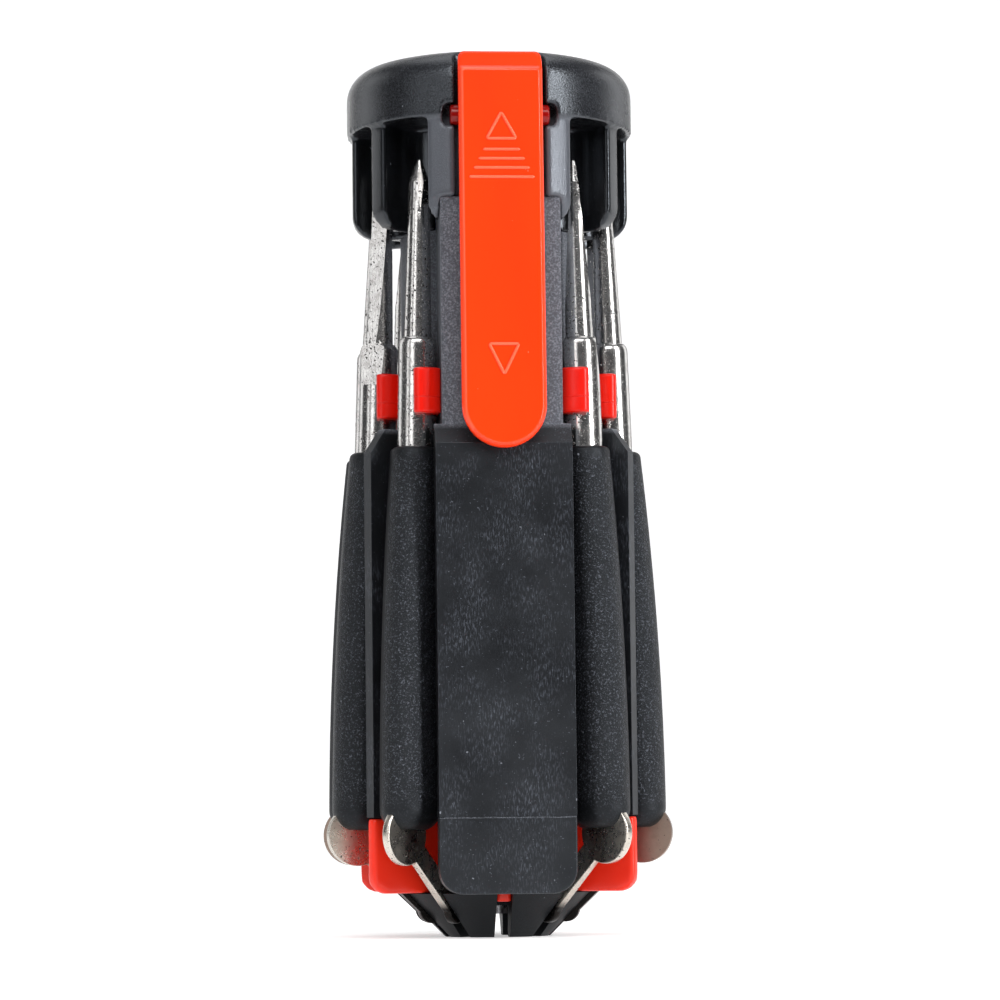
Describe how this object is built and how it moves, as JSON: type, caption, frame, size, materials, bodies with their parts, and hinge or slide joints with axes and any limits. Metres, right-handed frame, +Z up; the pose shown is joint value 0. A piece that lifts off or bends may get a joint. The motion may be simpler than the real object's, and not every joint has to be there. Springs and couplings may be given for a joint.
{
  "type": "folding pocket multi-screwdriver",
  "caption": "Pocket tool with screwdrivers folded up round a ribbed core, a slotted claw base, a sprung belt clip and a torch in the cup-shaped head.",
  "frame": {"origin": "middle of the base, on the plane that the tool stands on", "axes": "+Z up along the core, -Y towards the belt clip, +X to the right seen from the clip"},
  "size_m": [0.0498, 0.0447, 0.1264],
  "materials": {
    "black_plastic": "charcoal satin moulding",
    "grip_plastic": "spark-eroded grain",
    "red_plastic": "gloss red moulding",
    "clip_plastic": "gloss orange-red moulding",
    "chrome": "bright plating with small pits",
    "nickel": "nickel plated sheet",
    "steel": "plain steel",
    "lens": "clear",
    "reflector": "bright",
    "board": "solder mask",
    "led": "clear resin",
    "cell": "wrapped can",
    "contact": "plain"
  },
  "bodies": {
    "frame": {"body": "black_plastic", "head_cup": "black_plastic", "lens": "lens", "reflector": "reflector", "led_board": "board", "leds": "led", "battery_carrier": "black_plastic", "cell_1": "cell", "cell_2": "cell", "cell_3": "cell", "cell_links": "nickel", "contact_plate": "contact", "contact_leaf": "contact", "switch_body": "black_plastic", "clip_bank_left": "red_plastic", "clip_bank_right": "red_plastic", "hub": "red_plastic", "front_shoe": "black_plastic", "rear_shoe": "black_plastic", "claw": "black_plastic", "pivot_pins": "steel", "hub_screw": "steel", "head_screws": "steel"},
    "clip": {"belt_clip": "clip_plastic"},
    "button": {"switch_button": "red_plastic"},
    "driver_1": {"driver_1_grip": "grip_plastic", "driver_1_shank": "chrome", "driver_1_arm": "nickel"},
    "driver_2": {"driver_2_grip": "grip_plastic", "driver_2_shank": "chrome", "driver_2_arm": "nickel"},
    "driver_3": {"driver_3_grip": "grip_plastic", "driver_3_shank": "chrome", "driver_3_arm": "nickel"},
    "driver_4": {"driver_4_grip": "grip_plastic", "driver_4_shank": "chrome", "driver_4_arm": "nickel"},
    "driver_5": {"driver_5_grip": "grip_plastic", "driver_5_shank": "chrome", "driver_5_arm": "nickel"},
    "driver_6": {"driver_6_grip": "grip_plastic", "driver_6_shank": "chrome", "driver_6_arm": "nickel"},
    "driver_7": {"driver_7_grip": "grip_plastic", "driver_7_shank": "chrome", "driver_7_arm": "nickel"},
    "driver_8": {"driver_8_grip": "grip_plastic", "driver_8_shank": "chrome", "driver_8_arm": "nickel"}
  },
  "joints": [
    {"name": "clip_hinge", "type": "hinge", "parent": "frame", "child": "clip", "pos_m": [0, -0.0183, 0.1168], "axis": [-1, 0, 0], "range_deg": [0, 12], "stiffness_Nm_per_rad": 0.3, "springref_deg": -2.86},
    {"name": "button_press", "type": "slide", "parent": "frame", "child": "button", "axis": [0, -1, 0], "range_m": [0, 0.0012], "stiffness_N_per_m": 900, "springref_m": -0.0005},
    {"name": "driver_1_swing", "type": "hinge", "parent": "frame", "child": "driver_1", "pos_m": [-0.00675, -0.0075, 0.004], "axis": [0.7431, -0.6691, 0], "range_deg": [0, 181.97]},
    {"name": "driver_2_swing", "type": "hinge", "parent": "frame", "child": "driver_2", "pos_m": [-0.0097, -0.00278, 0.004], "axis": [0.2756, -0.9613, 0], "range_deg": [0, 120]},
    {"name": "driver_3_swing", "type": "hinge", "parent": "frame", "child": "driver_3", "pos_m": [-0.0097, 0.00278, 0.004], "axis": [-0.2756, -0.9613, 0], "range_deg": [0, 120]},
    {"name": "driver_4_swing", "type": "hinge", "parent": "frame", "child": "driver_4", "pos_m": [-0.00675, 0.0075, 0.004], "axis": [-0.7431, -0.6691, 0], "range_deg": [0, 120]},
    {"name": "driver_5_swing", "type": "hinge", "parent": "frame", "child": "driver_5", "pos_m": [0.00675, -0.0075, 0.004], "axis": [-0.7431, -0.6691, 0], "range_deg": [-181.97, 0]},
    {"name": "driver_6_swing", "type": "hinge", "parent": "frame", "child": "driver_6", "pos_m": [0.0097, -0.00278, 0.004], "axis": [0.2756, 0.9613, 0], "range_deg": [0, 120]},
    {"name": "driver_7_swing", "type": "hinge", "parent": "frame", "child": "driver_7", "pos_m": [0.0097, 0.00278, 0.004], "axis": [-0.2756, 0.9613, 0], "range_deg": [0, 120]},
    {"name": "driver_8_swing", "type": "hinge", "parent": "frame", "child": "driver_8", "pos_m": [0.00675, 0.0075, 0.004], "axis": [-0.7431, 0.6691, 0], "range_deg": [0, 120]}
  ]
}
